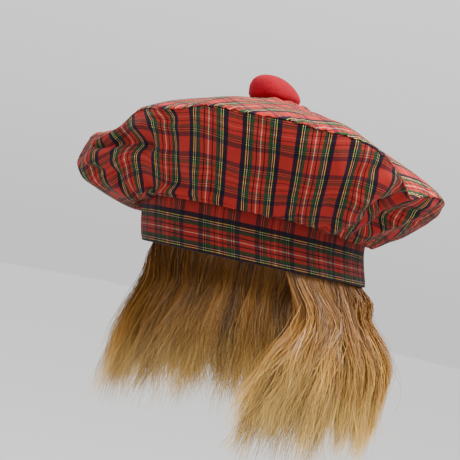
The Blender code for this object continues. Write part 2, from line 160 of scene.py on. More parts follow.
# %% Table of the crown
CROWN = [
    # bearing  seam r  z      high r  z      belly r z      low r  z
    (-82, 1.018, 0.572, 1.064, 0.482, 1.004, 0.338, 0.780, 0.212),
    (-67, 1.044, 0.566, 1.066, 0.474, 1.024, 0.340, 0.757, 0.188),
    (-52, 1.040, 0.568, 1.058, 0.465, 1.018, 0.340, 0.757, 0.192),
    (-37, 0.982, 0.567, 1.036, 0.470, 1.000, 0.350, 0.757, 0.208),
    (-30, 0.935, 0.598, 0.985, 0.500, 0.960, 0.368, 0.757, 0.230),
    (-22, 0.905, 0.683, 0.920, 0.575, 0.915, 0.425, 0.757, 0.278),
    (-12, 0.888, 0.743, 0.895, 0.630, 0.875, 0.465, 0.755, 0.320),
    (8, 0.873, 0.789, 0.868, 0.668, 0.822, 0.505, 0.742, 0.372),
    (23, 0.873, 0.766, 0.862, 0.655, 0.803, 0.508, 0.730, 0.382),
    (38, 0.875, 0.764, 0.858, 0.650, 0.798, 0.508, 0.724, 0.384),
    (50, 0.882, 0.752, 0.866, 0.642, 0.808, 0.507, 0.728, 0.388),
    (62, 0.893, 0.746, 0.880, 0.638, 0.830, 0.504, 0.740, 0.390),
    (70, 0.900, 0.727, 0.892, 0.622, 0.848, 0.492, 0.752, 0.380),
    (78, 0.907, 0.675, 0.893, 0.580, 0.846, 0.462, 0.752, 0.364),
    (84, 0.918, 0.598, 0.860, 0.515, 0.782, 0.425, 0.700, 0.350),
    (89, 0.905, 0.556, 0.822, 0.488, 0.737, 0.415, 0.668, 0.343),
    (96, 0.912, 0.592, 0.830, 0.492, 0.736, 0.410, 0.664, 0.340),
    (106, 0.938, 0.613, 0.886, 0.513, 0.795, 0.417, 0.690, 0.340),
    (118, 0.944, 0.606, 0.910, 0.510, 0.816, 0.414, 0.704, 0.338),
    (130, 0.940, 0.602, 0.920, 0.508, 0.826, 0.416, 0.712, 0.340),
    (155, 0.945, 0.592, 0.966, 0.508, 0.890, 0.432, 0.748, 0.345),
    (185, 0.950, 0.622, 0.980, 0.532, 0.915, 0.445, 0.766, 0.350),
    (215, 0.958, 0.622, 0.988, 0.532, 0.920, 0.442, 0.772, 0.342),
    (245, 0.975, 0.606, 1.014, 0.514, 0.950, 0.415, 0.775, 0.305),
    (262, 0.992, 0.590, 1.040, 0.500, 0.982, 0.378, 0.778, 0.255),
]
SEAM_RISE = [
    # bearing, mm that the photographed edge seam stands above the solid's
    (-40, 0), (-30, 1.5), (-20, 4.0), (-12, 1.0), (0, -1.5),
    (10, 2.0), (20, 4.5), (30, 5.0), (40, 5.6), (50, 5.4),
    (60, 5.7), (70, 3.8), (80, 1.8), (90, 0), (215, 0),
]
print("crown table has", len(CROWN), "bearings")


# %% Smooth curves through the tables
def curve(knots, values, at):
    """A smooth curve through four values, between the middle two."""
    k0, k1, k2, k3 = [np.asarray(k, float)[..., None] for k in knots]
    v0, v1, v2, v3 = values
    s = (np.asarray(at, float)[..., None] - k1) / (k2 - k1)
    start = (v2 - v0) / (k2 - k0) * (k2 - k1)
    end = (v3 - v1) / (k3 - k1) * (k2 - k1)
    near = (2 * s**3 - 3 * s**2 + 1) * v1 + (s**3 - 2 * s**2 + s) * start
    return near + (3 * s**2 - 2 * s**3) * v2 + (s**3 - s**2) * end


def looped(rows, at_bearings):
    """The rows' values at any bearing, on a curve that closes round the hat."""
    table = np.array(sorted(rows), float)
    knots = np.concatenate([table[-2:, 0] - 360, table[:, 0], table[:2, 0] + 360])
    values = np.concatenate([table[-2:, 1:], table[:, 1:], table[:2, 1:]])
    at = (np.asarray(at_bearings, float) - knots[1]) % 360 + knots[1]
    k = np.clip(np.searchsorted(knots, at, "right") - 1, 1, len(knots) - 3)
    around = (-1, 0, 1, 2)
    return curve([knots[k + j] for j in around], [values[k + j] for j in around], at)


def along(points, shares):
    """Places a share of the way along smooth lines.

    points is (..., count, axes), shares is (m,), and the answer is (..., m, axes).
    """
    first = 2 * points[..., :1, :] - points[..., 1:2, :]
    last = 2 * points[..., -1:, :] - points[..., -2:-1, :]
    padded = np.concatenate([first, points, last], axis=-2)
    spot = np.asarray(shares) * (points.shape[-2] - 1)
    k = np.minimum(spot.astype(int), points.shape[-2] - 2)
    four = [padded[..., k + j, :] for j in range(4)]
    knots = [np.full(len(spot), j - 1.0) for j in range(4)]
    return curve(knots, four, spot - k)


# %% Ways out and the band's oval
def heading(at_bearings):
    """Level unit vectors that point out of the hat."""
    turn = np.radians(np.asarray(at_bearings, float))
    return np.stack([np.sin(turn), -np.cos(turn), np.zeros_like(turn)], -1)


def oval(at_bearings, inset, z):
    """Points on the band's oval, moved inward by inset, at height z."""
    turn = np.radians(np.asarray(at_bearings, float))
    a, b = BAND_WIDTH / 2 - inset, BAND_DEPTH / 2 - inset
    radius = a * b / np.hypot(b * np.sin(turn), a * np.cos(turn))
    share = np.clip(np.asarray(z, float) / BAND_HEIGHT, 0, 1) + np.zeros_like(turn)
    place = heading(at_bearings) * (radius - BAND_WAIST * np.sin(math.pi * share))[..., None]
    place[..., :2] += np.array(BAND_LEAN) * np.sin(share * math.pi / 2)[..., None]
    place[..., 2] += z
    return place


crown_row = looped(CROWN, bearings)
seam = heading(bearings) * (crown_row[:, :1] * CROWN_RADIUS)
seam[:, 2] = crown_row[:, 1] * CROWN_HEIGHT + looped(SEAM_RISE, bearings)[:, 0] / 1000
seam_steps = np.linalg.norm(np.roll(seam, -1, 0) - seam, axis=1)
print("edge seam is", round(float(seam_steps.sum()), 3), "m round")

# %% [markdown]
# A mesh for each cloth piece is a grid that runs round the hat and down it. The same helper closes the grid
# into a wall with an inside, so the cloth has a real thickness at its edges. It also gives the wall a UV
# map in metres of cloth, which the woven pattern reads. The map is cut at the back, where the real ring of
# cloth is joined.

# %% Helpers for walls of cloth
def facing(grid):
    """Unit normals of a grid, pointing out of the hat."""
    out = np.cross(np.gradient(grid, axis=1), np.roll(grid, -1, 0) - np.roll(grid, 1, 0))
    return out / np.linalg.norm(out, axis=2, keepdims=True)


def new_piece(name, points, faces, material, uvs=None):
    """A smooth-shaded mesh object. uvs has one place for each corner of each face."""
    mesh = bpy.data.meshes.new(name)
    mesh.from_pydata(points.tolist(), [], faces)
    if uvs is not None:
        layer = mesh.uv_layers.new(name="cloth")
        layer.uv.foreach_set("vector", uvs.astype(np.float32).ravel())
    mesh.polygons.foreach_set("use_smooth", [True] * len(mesh.polygons))
    mesh.materials.append(material)
    mesh.update()
    piece = bpy.data.objects.new(name, mesh)
    bpy.context.scene.collection.objects.link(piece)
    print(name, len(mesh.polygons), "faces")
    return piece


def wall_piece(name, outer, inner, cloth, material):
    """A closed wall between two grids.

    cloth is (rows + 1, cols, 2): the place of each point in the flat cloth, in metres.
    """
    rows, cols = outer.shape[:2]
    points = np.concatenate([outer.reshape(-1, 3), inner.reshape(-1, 3)])
    i, j = [index.ravel() for index in np.meshgrid(np.arange(rows), np.arange(cols - 1), indexing="ij")]
    k, last = np.arange(rows), cols - 1
    # each corner is (0 outside or 1 inside, row, column)
    strips = [
        [(0, i, j), (0, i, j + 1), (0, i + 1, j + 1), (0, i + 1, j)],
        [(1, i + 1, j), (1, i + 1, j + 1), (1, i, j + 1), (1, i, j)],
        [(0, k, 0), (0, k + 1, 0), (1, k + 1, 0), (1, k, 0)],
        [(0, k, last), (1, k, last), (1, k + 1, last), (0, k + 1, last)],
    ]
    faces = [np.stack([(side * rows + a % rows) * cols + b for side, a, b in strip], 1) for strip in strips]
    uvs = [np.stack([cloth[a, b] for _, a, b in strip], 1) for strip in strips]
    return new_piece(name, points, np.concatenate(faces).tolist(), material, np.concatenate(uvs))


def ripple(a, b, waves):
    """A small sum of waves that closes round the hat, at bearing a and share b of the way down."""
    return sum(size * np.sin(np.radians(turns * a) + falls * b + start) for size, turns, falls, start in waves)


# %% [markdown]
# Blender's materials are graphs of nodes. A node group is a graph with named inputs and outputs that
# several materials can share. These helpers keep the graphs short to write: one starts a group, one does a
# sum, one blends two colours, and one turns a screen colour into the linear values that sockets take.

# %% Helpers for nodes
def new_group(name, inputs, outputs):
    """An empty node group with named sockets, and the two nodes that stand for them inside it."""
    tree = bpy.data.node_groups.new(name, "ShaderNodeTree")
    for label, kind in inputs:
        tree.interface.new_socket(name=label, in_out="INPUT", socket_type=kind)
    for label, kind in outputs:
        tree.interface.new_socket(name=label, in_out="OUTPUT", socket_type=kind)
    return tree, tree.nodes.new("NodeGroupInput"), tree.nodes.new("NodeGroupOutput")


def feed(tree, socket, value):
    """Set a socket to a plain value, or link it to another node's output."""
    if isinstance(value, (int, float, tuple)):
        socket.default_value = value
    else:
        tree.links.new(value, socket)


def compute(tree, operation, *values):
    """A Math node on plain numbers or other nodes' outputs."""
    node = tree.nodes.new("ShaderNodeMath")
    node.operation = operation
    for socket, value in zip(node.inputs, values):
        feed(tree, socket, value)
    return node.outputs[0]


def mixed(tree, factor, a, b, blend="MIX"):
    """A Mix node on two colours, whose sockets have the numbers 6 and 7."""
    node = tree.nodes.new("ShaderNodeMix")
    node.data_type = "RGBA"
    node.blend_type = blend
    for socket, value in ((node.inputs["Factor"], factor), (node.inputs[6], a), (node.inputs[7], b)):
        feed(tree, socket, value)
    return node.outputs[2]


def srgb(*channels):
    """A screen colour, 0 to 255 in each channel, as linear values and full opacity."""
    shares = [channel / 255 for channel in channels]
    linear = [share / 12.92 if share <= 0.04045 else ((share + 0.055) / 1.055) ** 2.4 for share in shares]
    return (*linear, 1.0)


# %% [markdown]
# Tartan is woven from one list of coloured threads, used both ways. This node group holds that list as a
# colour ramp with hard steps, mirrored about a white middle line. Given how far across the cloth a point
# lies, it answers with the thread's colour.

# %% The list of threads
HALF_REPEAT = 0.0195
RED = srgb(143, 33, 28)
BLACK = srgb(20, 9, 11)
NAVY = srgb(16, 10, 30)
GREEN = srgb(26, 56, 28)
YELLOW = srgb(194, 204, 84)
WHITE = srgb(188, 182, 152)
THREADS = [
    # from the white middle line, mm  colour
    (0.0, WHITE),
    (0.30, RED),
    (2.45, BLACK),
    (3.25, RED),
    (5.50, GREEN),
    (7.80, BLACK),
    (8.60, WHITE),
    (9.05, BLACK),
    (10.10, YELLOW),
    (10.65, BLACK),
    (11.20, NAVY),
    (14.20, RED),
]
thread_tree, thread_in, thread_out = new_group(
    "thread_list", [("Across", "NodeSocketFloat")], [("Color", "NodeSocketColor")]
)
repeats = compute(thread_tree, "DIVIDE", thread_in.outputs["Across"], 2 * HALF_REPEAT)
nearest_middle = compute(thread_tree, "ROUND", repeats)
off_middle = compute(thread_tree, "ABSOLUTE", compute(thread_tree, "SUBTRACT", repeats, nearest_middle))
ramp = thread_tree.nodes.new("ShaderNodeValToRGB")
ramp.color_ramp.interpolation = "CONSTANT"
stops = ramp.color_ramp.elements
stops.remove(stops[1])
stops[0].position, stops[0].color = 0.0, THREADS[0][1]
for start_mm, colour in THREADS[1:]:
    stops.new(start_mm / 1000 / HALF_REPEAT).color = colour
thread_tree.links.new(compute(thread_tree, "MULTIPLY", off_middle, 2.0), ramp.inputs["Fac"])
thread_tree.links.new(ramp.outputs["Color"], thread_out.inputs["Color"])
print("thread list has", len(THREADS), "bands, repeating every", HALF_REPEAT * 2000, "mm")

# %% [markdown]
# A second group lays the list along both directions of the cloth. Each direction's colour is raised to the
# power of its share, and the two are multiplied, so dark threads win as they do in real weaving. The
# photograph shows the lengthwise threads much stronger than the crosswise ones. The shares are therefore
# uneven, and a fine twill sways them.

# %% Threads laid both ways
TWILL = 0.0012  # one twill line
TWILL_SWAY = 0.10
WANDER_SCALE, WANDER = 55, 0.0009  # no thread runs quite straight

tartan_tree, tartan_in, tartan_out = new_group(
    "woven_tartan",
    [("Cloth", "NodeSocketVector"), ("Warp share", "NodeSocketFloat")],
    [("Color", "NodeSocketColor"), ("Height", "NodeSocketFloat"), ("Roughness", "NodeSocketFloat")],
)
cloth_place = tartan_tree.nodes.new("ShaderNodeSeparateXYZ")
tartan_tree.links.new(tartan_in.outputs["Cloth"], cloth_place.inputs[0])
across, lengthwise = cloth_place.outputs["X"], cloth_place.outputs["Y"]
wander = tartan_tree.nodes.new("ShaderNodeTexNoise")
wander.inputs["Scale"].default_value = WANDER_SCALE
wander.inputs["Detail"].default_value = 2
tartan_tree.links.new(tartan_in.outputs["Cloth"], wander.inputs["Vector"])
stray = compute(tartan_tree, "MULTIPLY", compute(tartan_tree, "SUBTRACT", wander.outputs["Fac"], 0.5), WANDER)
warp = tartan_tree.nodes.new("ShaderNodeGroup")
weft = tartan_tree.nodes.new("ShaderNodeGroup")
warp.node_tree = weft.node_tree = thread_tree
tartan_tree.links.new(compute(tartan_tree, "ADD", across, stray), warp.inputs["Across"])
tartan_tree.links.new(compute(tartan_tree, "ADD", lengthwise, stray), weft.inputs["Across"])
diagonal = compute(tartan_tree, "ADD", across, lengthwise)
twill = compute(tartan_tree, "SINE", compute(tartan_tree, "MULTIPLY", diagonal, 2 * math.pi / TWILL))
swayed = compute(tartan_tree, "MULTIPLY", twill, TWILL_SWAY)
warp_power = compute(tartan_tree, "ADD", swayed, tartan_in.outputs["Warp share"])
weft_power = compute(tartan_tree, "SUBTRACT", 1.0, warp_power)


def softened(colour, power):
    """A colour raised to a power, so two of them multiply into a blend where dark threads win."""
    node = tartan_tree.nodes.new("ShaderNodeGamma")
    tartan_tree.links.new(colour, node.inputs["Color"])
    tartan_tree.links.new(power, node.inputs["Gamma"])
    return node.outputs["Color"]


warp_colour = softened(warp.outputs["Color"], warp_power)
weft_colour = softened(weft.outputs["Color"], weft_power)
woven = mixed(tartan_tree, 1.0, warp_colour, weft_colour, "MULTIPLY")
print("a twill line every", TWILL * 1000, "mm")

# %% [markdown]
# Spun cotton is never even: a yarn has thicker places, called slubs, which take the dye and the light
# differently. A stretched noise gives them. Crossed sine waves at the width of a yarn give the relief of
# the weave, and the slubs change the roughness.

# %% Slubs and relief of the weave
YARN = 0.0007
SLUB_SCALE, SLUB_STRETCH = 900, 0.22
SLUB_DYE, SLUB_DARKEST = 0.34, 0.83
SLUB_ROUGHNESS, LEAST_ROUGHNESS = 0.16, 0.76

slub = tartan_tree.nodes.new("ShaderNodeTexNoise")
slub.inputs["Scale"].default_value = SLUB_SCALE
slub.inputs["Detail"].default_value = 1
stretch = tartan_tree.nodes.new("ShaderNodeVectorMath")
stretch.operation = "MULTIPLY"
stretch.inputs[1].default_value = (1.0, SLUB_STRETCH, 1.0)
tartan_tree.links.new(tartan_in.outputs["Cloth"], stretch.inputs[0])
tartan_tree.links.new(stretch.outputs[0], slub.inputs["Vector"])
uneven = compute(tartan_tree, "ADD", compute(tartan_tree, "MULTIPLY", slub.outputs["Fac"], SLUB_DYE), SLUB_DARKEST)
shade = tartan_tree.nodes.new("ShaderNodeCombineColor")
for channel in shade.inputs:
    tartan_tree.links.new(uneven, channel)
dyed = mixed(tartan_tree, 1.0, woven, shade.outputs["Color"], "MULTIPLY")
tartan_tree.links.new(dyed, tartan_out.inputs["Color"])
up_yarn = compute(tartan_tree, "SINE", compute(tartan_tree, "MULTIPLY", across, 2 * math.pi / YARN))
over_yarn = compute(tartan_tree, "SINE", compute(tartan_tree, "MULTIPLY", lengthwise, 2 * math.pi / YARN))
twill_relief = compute(tartan_tree, "MULTIPLY", twill, 0.6)
raised = compute(tartan_tree, "ADD", compute(tartan_tree, "MULTIPLY", up_yarn, over_yarn), twill_relief)
tartan_tree.links.new(compute(tartan_tree, "ADD", raised, slub.outputs["Fac"]), tartan_out.inputs["Height"])
roughened = compute(tartan_tree, "MULTIPLY", slub.outputs["Fac"], SLUB_ROUGHNESS)
tartan_tree.links.new(compute(tartan_tree, "ADD", roughened, LEAST_ROUGHNESS), tartan_out.inputs["Roughness"])
print("yarns are", YARN * 1000, "mm wide")

# %% [markdown]
# The side, the top and the band are cut from the same cloth. Each has its own material, because the
# photograph shows them at different strengths: the top lies flat to the light, so its material has painted
# light that makes it paler, and the doubled band sits in the shade under the crown's overhang, so its
# material has painted shade that makes it darker. The shader itself is matte with a faint sheen, as brushed
# cotton is.

# %% Tartan materials
WEAVE_RELIEF = 0.00016


def tartan_material(name, warp_share, painted_light_and_shade=1.0):
    """warp_share is the strength of the lengthwise threads. The last argument is painted light and shade over the
    whole cloth: above 1 it paints the cloth paler, below 1 darker.
    """
    material = bpy.data.materials.new(name)
    material.use_nodes = True
    tree = material.node_tree
    shader = tree.nodes["Principled BSDF"]
    place = tree.nodes.new("ShaderNodeUVMap")
    place.uv_map = "cloth"
    cloth = tree.nodes.new("ShaderNodeGroup")
    cloth.node_tree = tartan_tree
    cloth.inputs["Warp share"].default_value = warp_share
    tree.links.new(place.outputs["UV"], cloth.inputs["Cloth"])
    # painted light and shade: the whole cloth is multiplied paler for the top and darker for the band
    colour = mixed(tree, 1.0, cloth.outputs["Color"], (painted_light_and_shade, painted_light_and_shade, painted_light_and_shade, 1.0), "MULTIPLY")
    tree.links.new(colour, shader.inputs["Base Color"])
    tree.links.new(cloth.outputs["Roughness"], shader.inputs["Roughness"])
    relief = tree.nodes.new("ShaderNodeBump")
    relief.inputs["Distance"].default_value = WEAVE_RELIEF
    relief.inputs["Strength"].default_value = 0.5
    tree.links.new(cloth.outputs["Height"], relief.inputs["Height"])
    tree.links.new(relief.outputs["Normal"], shader.inputs["Normal"])
    shader.inputs["Specular IOR Level"].default_value = 0.12
    shader.inputs["Sheen Weight"].default_value = 0.03
    shader.inputs["Sheen Roughness"].default_value = 0.5
    return material


# the top gets painted light and the band gets painted shade, though all three are the same cloth
side_cloth = tartan_material("tartan_side", 0.73)
top_cloth = tartan_material("tartan_top", 0.74, painted_light_and_shade=1.75)
band_cloth = tartan_material("tartan_band", 0.68, painted_light_and_shade=0.64)
print("tartan materials are ready")

# %% [markdown]
# The side is a ring of cloth sewn to the top at the edge seam and eased into the band below. Cloth
# simulation could gather it, but it would not fall into the folds of the photograph, so the folds are a
# table. Each is a straight crease on the flat ring, pressed in or raised by a depth. Small puckers along
# both sewn edges and faint waves between them come on top, as eased cotton shows them.

# %% Puckers, waves and folds of the side
SIDE_ARC, SIDE_FALL = 0.00218, 0.080  # metres of cloth in a degree round, and from the seam to the band
GATHERS, GATHER_DEPTH = 21, 0.0011
# each wave: size, turns round the hat, change down the cloth, start
SIDE_PUCKERS = [(0.00030, 97, 0, 0.3), (0.00026, 61, 0, 1.3), (0.00020, 143, 0, 2.1)]
HEM_PUCKERS = [(0.00042, 74, 0, 0.6), (0.00034, 47, 0, 2.3), (0.00022, 119, 0, 4.0)]
SIDE_WAVES = [(0.00055, 9, 5, 0.2), (0.00050, 14, -7, 1.7), (0.00035, 23, 9, 3.1), (0.00022, 38, -12, 0.9)]
FOLDS = [
    # bearing, down    bearing, down   depth    reach
    (-52, 0.330, -14, 0.860, -0.0034, 0.0100),  # soft ridge from the puff to the band
    (-44, 0.640, -30, 0.900, 0.0030, 0.0090),
    (-4, 0.120, 0, 0.800, 0.0026, 0.0080),  # soft upright fold
    (7, 0.100, 10, 0.850, -0.0020, 0.0080),
    (38, 0.450, 42, 0.660, 0.0042, 0.0130),  # dimple at the front
    (79, 0.060, 70, 0.560, -0.0046, 0.0075),  # lip of the big crease
    (70, 0.560, 72, 0.930, -0.0036, 0.0070),
    (79, 0.500, 80, 0.930, 0.0052, 0.0065),
    (104, 0.160, 96, 0.880, -0.0024, 0.0080),
    (112, 0.300, 110, 0.850, 0.0026, 0.0080),
    (150, 0.150, 146, 0.880, 0.0030, 0.0110),
    (176, 0.100, 182, 0.860, -0.0028, 0.0120),
    (204, 0.150, 200, 0.880, 0.0036, 0.0110),
    (236, 0.200, 244, 0.860, -0.0030, 0.0120),
    (258, 0.150, 252, 0.880, 0.0036, 0.0120),
    (-34, 0.200, -12, 0.400, 0.0075, 0.0055),  # under the flap at the front right
    (-33, 0.060, -14, 0.220, -0.0026, 0.0070),  # the flap's own roll
    (-88, 0.500, -42, 0.500, -0.0062, 0.0120),  # the swell of the puff at the right
    (-88, 0.370, -42, 0.370, 0.0020, 0.0090),
    (-50, 0.330, -27, 0.580, 0.0024, 0.0030),
    (-27, 0.580, -24, 0.760, 0.0018, 0.0030),
    (87, 0.080, 84, 0.390, 0.0050, 0.0055),  # the big crease at the left
    (84, 0.390, 76, 0.620, 0.0050, 0.0055),
    (95, 0.280, 89, 0.780, 0.0034, 0.0100),
    (-30, 0.220, 2, 0.270, -0.0016, 0.0040),  # small wrinkles, from here to the end
    (-26, 0.420, 0, 0.430, 0.0014, 0.0035),
    (-40, 0.500, -20, 0.560, 0.0016, 0.0040),
    (-60, 0.420, -34, 0.520, 0.0014, 0.0040),
    (-16, 0.700, -10, 0.880, 0.0014, 0.0036),
    (14, 0.620, 16, 0.960, 0.0010, 0.0044),
    (26, 0.520, 30, 0.900, -0.0010, 0.0070),
    (46, 0.700, 49, 0.960, 0.0012, 0.0050),
    (56, 0.080, 60, 0.420, -0.0010, 0.0060),
    (60, 0.640, 62, 0.960, 0.0014, 0.0050),
    (66, 0.300, 76, 0.100, 0.0014, 0.0040),
    (84, 0.760, 90, 0.440, 0.0018, 0.0040),
    (92, 0.800, 100, 0.500, -0.0016, 0.0045),
    (98, 0.300, 112, 0.160, 0.0018, 0.0040),
    (108, 0.500, 124, 0.330, 0.0016, 0.0045),
    (120, 0.640, 118, 0.940, 0.0014, 0.0040),
]


def crease(a, b, fold):
    """How far one fold presses the cloth in at bearing a and share b of the way down."""
    bearing_0, down_0, bearing_1, down_1, depth, reach = fold
    start = np.array([bearing_0 * SIDE_ARC, down_0 * SIDE_FALL])
    line = np.array([bearing_1 * SIDE_ARC, down_1 * SIDE_FALL]) - start
    nearest = (a - bearing_0 + 180) % 360 - 180 + bearing_0
    dx, dy = nearest * SIDE_ARC - start[0], b * SIDE_FALL - start[1]
    s = np.clip((dx * line[0] + dy * line[1]) / (line @ line), 0, 1)
    off = np.hypot(dx - s * line[0], dy - s * line[1])
    return depth * np.exp(-((off / reach) ** 2))


print("side has", len(FOLDS), "folds")

# %% Grid of the side
EDGE = 0.0006  # both cloths are thin where the seam draws them together
EDGE_TURN, EDGE_WIDE = 0.0013, 0.0013  # the sewn edge turns in
side_shares = np.concatenate([[0, 0.006, 0.012, 0.020, 0.032, 0.046], np.linspace(0.062, 1, 56)])
line_points = [seam - np.array([0, 0, EDGE + GAP])]
for k in (2, 4, 6):  # the table's high, belly and low places
    spot = heading(bearings) * (crown_row[:, k : k + 1] * CROWN_RADIUS)
    spot[:, 2] = crown_row[:, k + 1] * CROWN_HEIGHT
    line_points.append(spot)
line_points.append(oval(bearings, -3 * GAP, BAND_HEIGHT) + np.array([0, 0, 2 * GAP]))
side_grid = along(np.stack(line_points, 1), side_shares)
print("side grid", side_grid.shape[:2])

# %% Press the folds into the side
CALM_AT, CALM_SHARE = [-50, -32, -6, 12], [1.0, 0.15, 0.25, 1.0]  # where the cloth hangs smooth over the band
PUCKER_REACH, HEM_REACH = 0.10, 0.16  # as shares of the way down

a, b = np.meshgrid(bearings, side_shares, indexing="ij")
calm = np.interp(a, CALM_AT, CALM_SHARE)
press = sum(crease(a, b, fold) for fold in FOLDS)
press += calm * GATHER_DEPTH * np.cos(np.radians(a * GATHERS)) * b**3
press += ripple(a, b, SIDE_WAVES)
press *= np.minimum(1, 9 * b * (1 - b))  # nothing moves at the two sewn edges
press += ripple(a, b, SIDE_PUCKERS) * np.exp(-((b / PUCKER_REACH) ** 2))
at_hem = np.exp(-(((1 - b) / HEM_REACH) ** 2)) * np.minimum(1, 30 * (1 - b))
press += calm * ripple(a, b, HEM_PUCKERS) * at_hem
press += EDGE_TURN * np.exp(-((b * SIDE_FALL / EDGE_WIDE) ** 2))
side_grid = side_grid - facing(side_grid) * press[..., None]
print("folds are pressed up to", round(float(press.max()) * 1000, 1), "mm in")

# %% [markdown]
# At its lower end the ring sinks over the band and turns in under itself, which hides the seam there. Its
# edge sinks more at the wearer's left. The cloth beside the band is kept outside the band's oval by a soft
# limit, since a hard one would leave a kink along the edge.

# %% Hang the side over the band
SLUMP = [
    # bearing, how far the edge sinks
    (-75, 0.0012), (-45, 0.0020), (-25, 0.0036), (-10, 0.0040), (0, 0.0038),
    (20, 0.0036), (38, 0.0036), (62, 0.0042), (84, 0.0060), (105, 0.0074),
    (128, 0.0070), (160, 0.0040), (215, 0.0030), (270, 0.0030),
]
SLUMP_AT, SLUMP_SHARE = [0.55, 0.80, 0.93, 0.97, 1.0], [0, 0.5, 1.0, 0.9, 0]
EDGE_ROLL, ROLL_AT, ROLL_WIDE = 0.0012, 0.955, 0.030
LEAST_BULGE, MORE_BULGE, BULGE_AT, BULGE_WIDE = 0.0014, 0.0026, 0.85, 0.10  # it bulges before it turns in
SOFTNESS = 0.0007  # of the limit

slump_bearing, slump_depth = np.array(SLUMP).T
side_grid[..., 2] -= np.interp(a, slump_bearing, slump_depth, period=360) * np.interp(b, SLUMP_AT, SLUMP_SHARE)
edge_roll = EDGE_ROLL * np.exp(-(((b - ROLL_AT) / ROLL_WIDE) ** 2))
side_grid[..., :2] += heading(a)[..., :2] * edge_roll[..., None]
band_middle = np.array(BAND_LEAN)
off = side_grid[:, :, :2] - band_middle
far = np.linalg.norm(off, axis=-1)
off_bearing = np.degrees(np.arctan2(off[..., 0], -off[..., 1]))
bulge = LEAST_BULGE + MORE_BULGE * np.exp(-(((b - BULGE_AT) / BULGE_WIDE) ** 2))
limit = oval(off_bearing, -bulge, np.minimum(side_grid[..., 2], BAND_HEIGHT))[..., :2]
least = np.linalg.norm(limit - band_middle, axis=-1)
eased_out = least + SOFTNESS * np.logaddexp(0, (far - least) / SOFTNESS)
free = b < 0.999  # the last ring is sewn to the band
beside = np.clip((BAND_HEIGHT + 0.013 - side_grid[..., 2]) / 0.010, 0, 1) * free
side_grid[..., :2] = band_middle + off * (1 + beside * (eased_out / far - 1))[..., None]
hanging = ((1 - calm) * np.clip((b - 0.84) / 0.10, 0, 1) * free)[..., None]
for _ in range(40):  # the smooth front of the edge
    side_grid += hanging * 0.5 * ((np.roll(side_grid, 1, 0) + np.roll(side_grid, -1, 0)) / 2 - side_grid)
side_inner = side_grid - facing(side_grid) * CLOTH
side_inner[:, 0] = side_grid[:, 0] - heading(bearings) * CLOTH - np.array([0, 0, CLOTH])
side_inner[:, -1] = oval(bearings, CLOTH * 0.6, BAND_HEIGHT) + np.array([0, 0, CLOTH + GAP])
print("side hangs down to", round(float(side_grid[..., 2].min()) * 1000, 1), "mm above the band's lower edge")

# %% [markdown]
# A printed pattern could be projected on the side, but it would slide over the folds. Instead each point
# keeps its place in the flat cloth: how far round the seam it lies, and how far down the cloth. A table
# leans the lengthwise stripes as the photograph shows them, because the ring is eased into a smaller band.

# %% The side's place in the flat cloth
SETT_BEARING = 30.2  # a white middle line starts at the seam here
SETT_DRIFT = [
    # bearing, degrees the lengthwise stripes have leaned at the seam and at each quarter of the way down,
    # and millimetres down from the seam to a crosswise middle line
    (-60, 0, 0, 0, 0, 0, 6),
    (-30, -4, 0, 1, -1.8, -2.4, 5),
    (-14, -5, 1.7, 3.0, -1.6, -3.0, 5),
    (5, -1.5, 0.4, 1.2, -0.4, 3.6, 8),
    (18, 0, 1.6, 1.6, 0.9, 4.8, 11.7),
    (28, 0, 1.2, 1.8, 1.7, 5.6, 12.4),
    (38, 0, 1, 2, 3, 7.4, 12.9),
    (50, 0, 0.6, 1.8, 3.3, 9.2, 8.5),
    (60, 0, 0.3, 1.6, 4, 12, 3.5),
    (70, 0, -0.3, 1, 5, 15.5, -3),
    (82, 0, -1, -0.5, 8, 20, -8),
    (95, 0, -1, 1, 9, 21, -11),
    (110, 0, 0, 2, 7, 16, -12),
    (130, 0, 0, 2, 5, 10, -10),
    (160, 0, 0, 1, 2, 4, -5),
    (215, 0, 0, 0, 0, 0, 0),
]
seam_run = np.concatenate([[0], np.cumsum(seam_steps)])
run_bearing = JOIN + np.arange(ROUND + 1) * 360 / ROUND
drift = looped(SETT_DRIFT, run_bearing)
leaned = run_bearing[:, None] - along(drift[:, :5, None], side_shares)[..., 0]
fall_steps = np.linalg.norm(np.diff(side_grid, axis=1), axis=2)
down = np.concatenate([np.zeros((ROUND, 1)), np.cumsum(fall_steps, axis=1)], 1)
for _ in range(12):  # the weave crosses folds smoothly
    down = (np.roll(down, 1, 0) + down + np.roll(down, -1, 0)) / 3
down = np.concatenate([down, down[:1]])
sett_start = np.interp(SETT_BEARING, run_bearing, seam_run)
round_seam = np.interp(leaned.ravel(), run_bearing, seam_run).reshape(leaned.shape) - sett_start
side_flat = np.stack([round_seam, drift[:, 5:] / 1000 - down], -1)
crown_side = wall_piece("crown_side_cloth", side_grid, side_inner, side_flat, side_cloth)
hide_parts("crown_side")
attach(crown_side, "root")

# %% [markdown]
# The top is one flat disc of tartan, eased over the rounded crown and drawn in under the pompom by its
# stitches. It is a grid from the middle to the seam, closed by an inside 2 mm below. Shallow dents break
# the dome, since soft cotton with nothing under it never holds an even curve.

